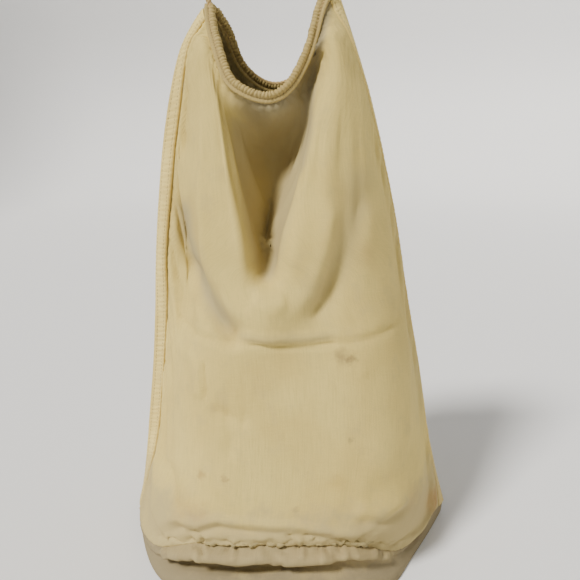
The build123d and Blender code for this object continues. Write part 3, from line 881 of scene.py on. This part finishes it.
def hem_piece(name, node, hem, out, seed):
    """A channel round the cord, gathered into fine ribs over it, with its stitching below the ribs."""
    draw = np.random.default_rng(seed)
    length = lengths_along(spline(hem, places(hem, 40)))[-1]
    count = int(length / 0.5)
    line, tangent, up, outward, even = hem_frames(hem, out, count)
    edges = np.cumsum(draw.uniform(2.6, 4.4, 200))
    strength = draw.uniform(0.7, 1.3, 200)
    sway = draw.uniform(-0.35, 0.35, 200)
    ring = np.array(HEM_PROFILE)
    ring_normal = np.stack([np.gradient(np.append(ring[:, 1], ring[0, 1]))[:-1] * -1,
                            np.gradient(np.append(ring[:, 0], ring[0, 0]))[:-1]], axis=1)
    ring_normal = unit(ring_normal) * -1
    rows = []
    for (q, h), (nq, nh) in zip(ring, ring_normal):
        at = even + np.interp(even, edges, sway) * q
        index = np.interp(at, edges, np.arange(200.0))
        rib = np.abs(np.sin(math.pi * index)) ** 0.5 * np.interp(at, edges, strength)
        share = 0.22 + 0.78 * float(smooth(q, -1.6, 1.6))
        rise = (rib - 0.62) * 1.7 * share
        rows.append(line + up * (q + nq * rise)[:, None] + outward * (h + nh * rise)[:, None])
    rings = np.array(rows).swapaxes(0, 1)
    sides = len(ring)
    points = rings.reshape(-1, 3)
    faces = grid_faces(len(rings), sides, ring=True, flip=out < 0)
    cap = tuple(range(sides))
    last = tuple((len(rings) - 1) * sides + k for k in range(sides))
    faces += [cap[::-1], last] if out > 0 else [cap, last[::-1]]
    around = lengths_along(ring)
    uvs = np.stack(np.meshgrid(around, even, indexing="xy"), axis=-1)[..., ::-1]
    piece = mesh_piece(name, points, faces, HEM_CANVAS, uvs.reshape(-1, 2) * MM * (1.9, 1))
    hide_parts(node)
    rows = [(rings[:, k], outward * side) for k, side in zip(HEM_STITCH_POINTS, (1, -1))]
    return piece, stitches(name + "_stitches", rows, DARK_THREAD, stitch=2.1, gap=0.9, radius=0.33)


front_hem, front_hem_thread = hem_piece("front_hem_cloth", "front_hem", FRONT_HEM, 1, 3)
back_hem, back_hem_thread = hem_piece("back_hem_cloth", "back_hem", BACK_HEM, -1, 4)


# ---------------------------------------------------------------- the cord and its knot

def route_points(points):
    """Points along the route's NURBS spline."""
    curve = bpy.data.curves.new("route", "CURVE")
    curve.dimensions = "3D"
    curve.resolution_u = 24
    route = curve.splines.new("NURBS")
    route.points.add(len(points) - 1)
    for point, place in zip(route.points, points):
        point.co = (*place, 1)
    route.order_u = 3
    route.use_endpoint_u = True
    holder = bpy.data.objects.new("route", curve)
    mesh = bpy.data.meshes.new_from_object(holder)
    line = np.array([v.co[:] for v in mesh.vertices])
    bpy.data.objects.remove(holder)
    bpy.data.meshes.remove(mesh)
    bpy.data.curves.remove(curve)
    return line


def rope(name, points, node, lay=13.0, step=0.9):
    """Three strands laid round each other along a route. lay is the length of one turn."""
    path = route_points(points)
    steps = lengths_along(path)
    even = np.linspace(0, steps[-1], int(steps[-1] / step))
    line = np.stack([np.interp(even, steps, path[:, k]) for k in range(3)], axis=1)
    verts, faces = [], []
    strand = ROPE_DIAMETER * 0.27
    tangent = unit(np.gradient(line, axis=0))
    side = np.cross(tangent[0], (0.3, 0.5, 0.8))
    sides = []
    for t in tangent:
        side = unit(side - t * (side @ t))
        sides.append(side)
    sides = np.array(sides)
    others = np.cross(tangent, sides)
    for k in range(3):
        angle = (math.tau * (even / lay + k / 3))[:, None]
        add_tube(verts, faces, line + strand * (np.cos(angle) * sides + np.sin(angle) * others), strand, 8)
    piece = mesh_piece(name, verts, faces, ROPE)
    if node:
        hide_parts(node)
    return piece


cord_route = [RIGHT_FRONT_LEAD, *FRONT_HEM[::-1], *LEFT_BIGHT, *BACK_HEM, RIGHT_BACK_LEAD]
rope("drawcord_rope", cord_route, "drawcord")
kx, _, kz = KNOT
knot_route = [(kx - 3, -4.5, kz - 4), (kx - 4.5, -2, kz + 1), (kx - 3, 2.5, kz + 4),
              (kx + 2, 3.8, kz + 3.5), (kx + 4.6, 1, kz - 1), (kx + 2.5, -3.6, kz - 4),
              (kx - 2.5, -3.8, kz - 1), (kx - 3.4, 0, kz + 4.2), (kx + 1, 3.4, kz + 1),
              (kx + 3.4, 3, kz - 3.6), (kx, -1, kz - 4), (kx - 1, -4.6, kz + 1),
              (kx, -9, kz - 1), (kx + 1, -14, kz - 4)]
knot_back = [(kx - 3, 4.5, kz - 4), (kx - 3.6, 1, kz - 2.5), (kx + 1.5, -2, kz + 2.6),
             (kx + 3.6, 2, kz + 3.6), (kx + 1, 6, kz + 0.5), (kx, 10, kz - 1.5), (kx + 1, 14.2, kz - 4)]
rope("drawcord_knot_rope", knot_route, "drawcord_knot", lay=11)
rope("drawcord_knot_end", knot_back, None, lay=11)


# ---------------------------------------------------------------- the base's seam allowance, inside

ALLOWANCE = 9.0


def allowance(name, grid, out, node):
    """The raw edges turned up inside the sack along the base seam, up to the allowance's height."""
    normal = normals_of(grid, out)
    rows = []
    edge = lengths_along(grid[:, len(grid[0]) // 2])
    top = int(np.searchsorted(edge, ALLOWANCE))
    for k in range(top + 1):
        rows.append(grid[k] - normal[k] * (CLOTH * 0.95 + 0.5 * k / top))
    band = np.array(rows)
    piece = mesh_piece(name, band.reshape(-1, 3), grid_faces(*band.shape[:2], flip=out < 0), INNER_CANVAS,
                       cloth_uv(band).reshape(-1, 2))
    thick = piece.modifiers.new("thickness", "SOLIDIFY")
    thick.thickness = 1.4 * MM
    thick.offset = -1
    if node:
        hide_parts(node)
    return piece


front_allowance = allowance("front_base_seam_allowance", front_grid, 1, "base_seam")
back_allowance = allowance("back_base_seam_allowance", back_grid, -1, None)


# ---------------------------------------------------------------- stage, light and camera

def stage():
    """A pale floor that curves up into a plain round backdrop, and an even sky."""
    turn = np.linspace(0, math.pi / 2, 9)
    profile = [(0.05, 0), (1.0, 0), (FLOOR_RADIUS, 0)]
    profile += [(FLOOR_RADIUS + math.sin(a), 1 - math.cos(a)) for a in turn[1:]]
    profile.append((FLOOR_RADIUS + 1, BACKDROP_HEIGHT))
    angles = np.linspace(0, math.tau, 96, endpoint=False)
    points = np.array([[(r * math.cos(a), r * math.sin(a), z) for a in angles] for r, z in profile])
    faces = grid_faces(*points.shape[:2], ring=True) + [tuple(range(len(angles)))[::-1]]
    mesh = bpy.data.meshes.new("floor")
    mesh.from_pydata(points.reshape(-1, 3).tolist(), [], faces)
    mesh.polygons.foreach_set("use_smooth", [True] * len(mesh.polygons))
    floor = bpy.data.objects.new("floor", mesh)
    bpy.context.scene.collection.objects.link(floor)
    n = Nodes("floor")
    n.shader.inputs["Base Color"].default_value = (0.80, 0.795, 0.785, 1)
    n.shader.inputs["Roughness"].default_value = 0.6
    mesh.materials.append(n.material)
    world = bpy.data.worlds.new("studio")
    bpy.context.scene.world = world
    world.use_nodes = True
    world.node_tree.nodes["Background"].inputs[0].default_value = (0.90, 0.91, 0.92, 1)
    world.node_tree.nodes["Background"].inputs[1].default_value = SKY


def sun(name, place, width, power, colour):
    """A sun that shines from place towards the origin. width is its angle across, which softens shadows."""
    light = bpy.data.lights.new(name, "SUN")
    light.angle = width
    light.energy = power
    light.color = colour
    holder = bpy.data.objects.new(name, light)
    holder.location = place
    bpy.context.scene.collection.objects.link(holder)
    holder.rotation_euler = (-Vector(place)).to_track_quat("-Z", "Y").to_euler()


FLOOR_RADIUS, BACKDROP_HEIGHT = 3.0, 3.2
SKY = 0.32
stage()
sun("key", (-0.66, -0.60, 1.0), math.radians(12), 4.9, (1, 0.975, 0.93))

camera = bpy.data.cameras.new("camera")
camera.lens = 40.34
camera.sensor_width = 36
eye = bpy.data.objects.new("camera", camera)
eye.location = (-0.0025, -0.695, 0.478)
eye.rotation_euler = (math.radians(74.8), 0, 0)
bpy.context.scene.collection.objects.link(eye)
bpy.context.scene.camera = eye
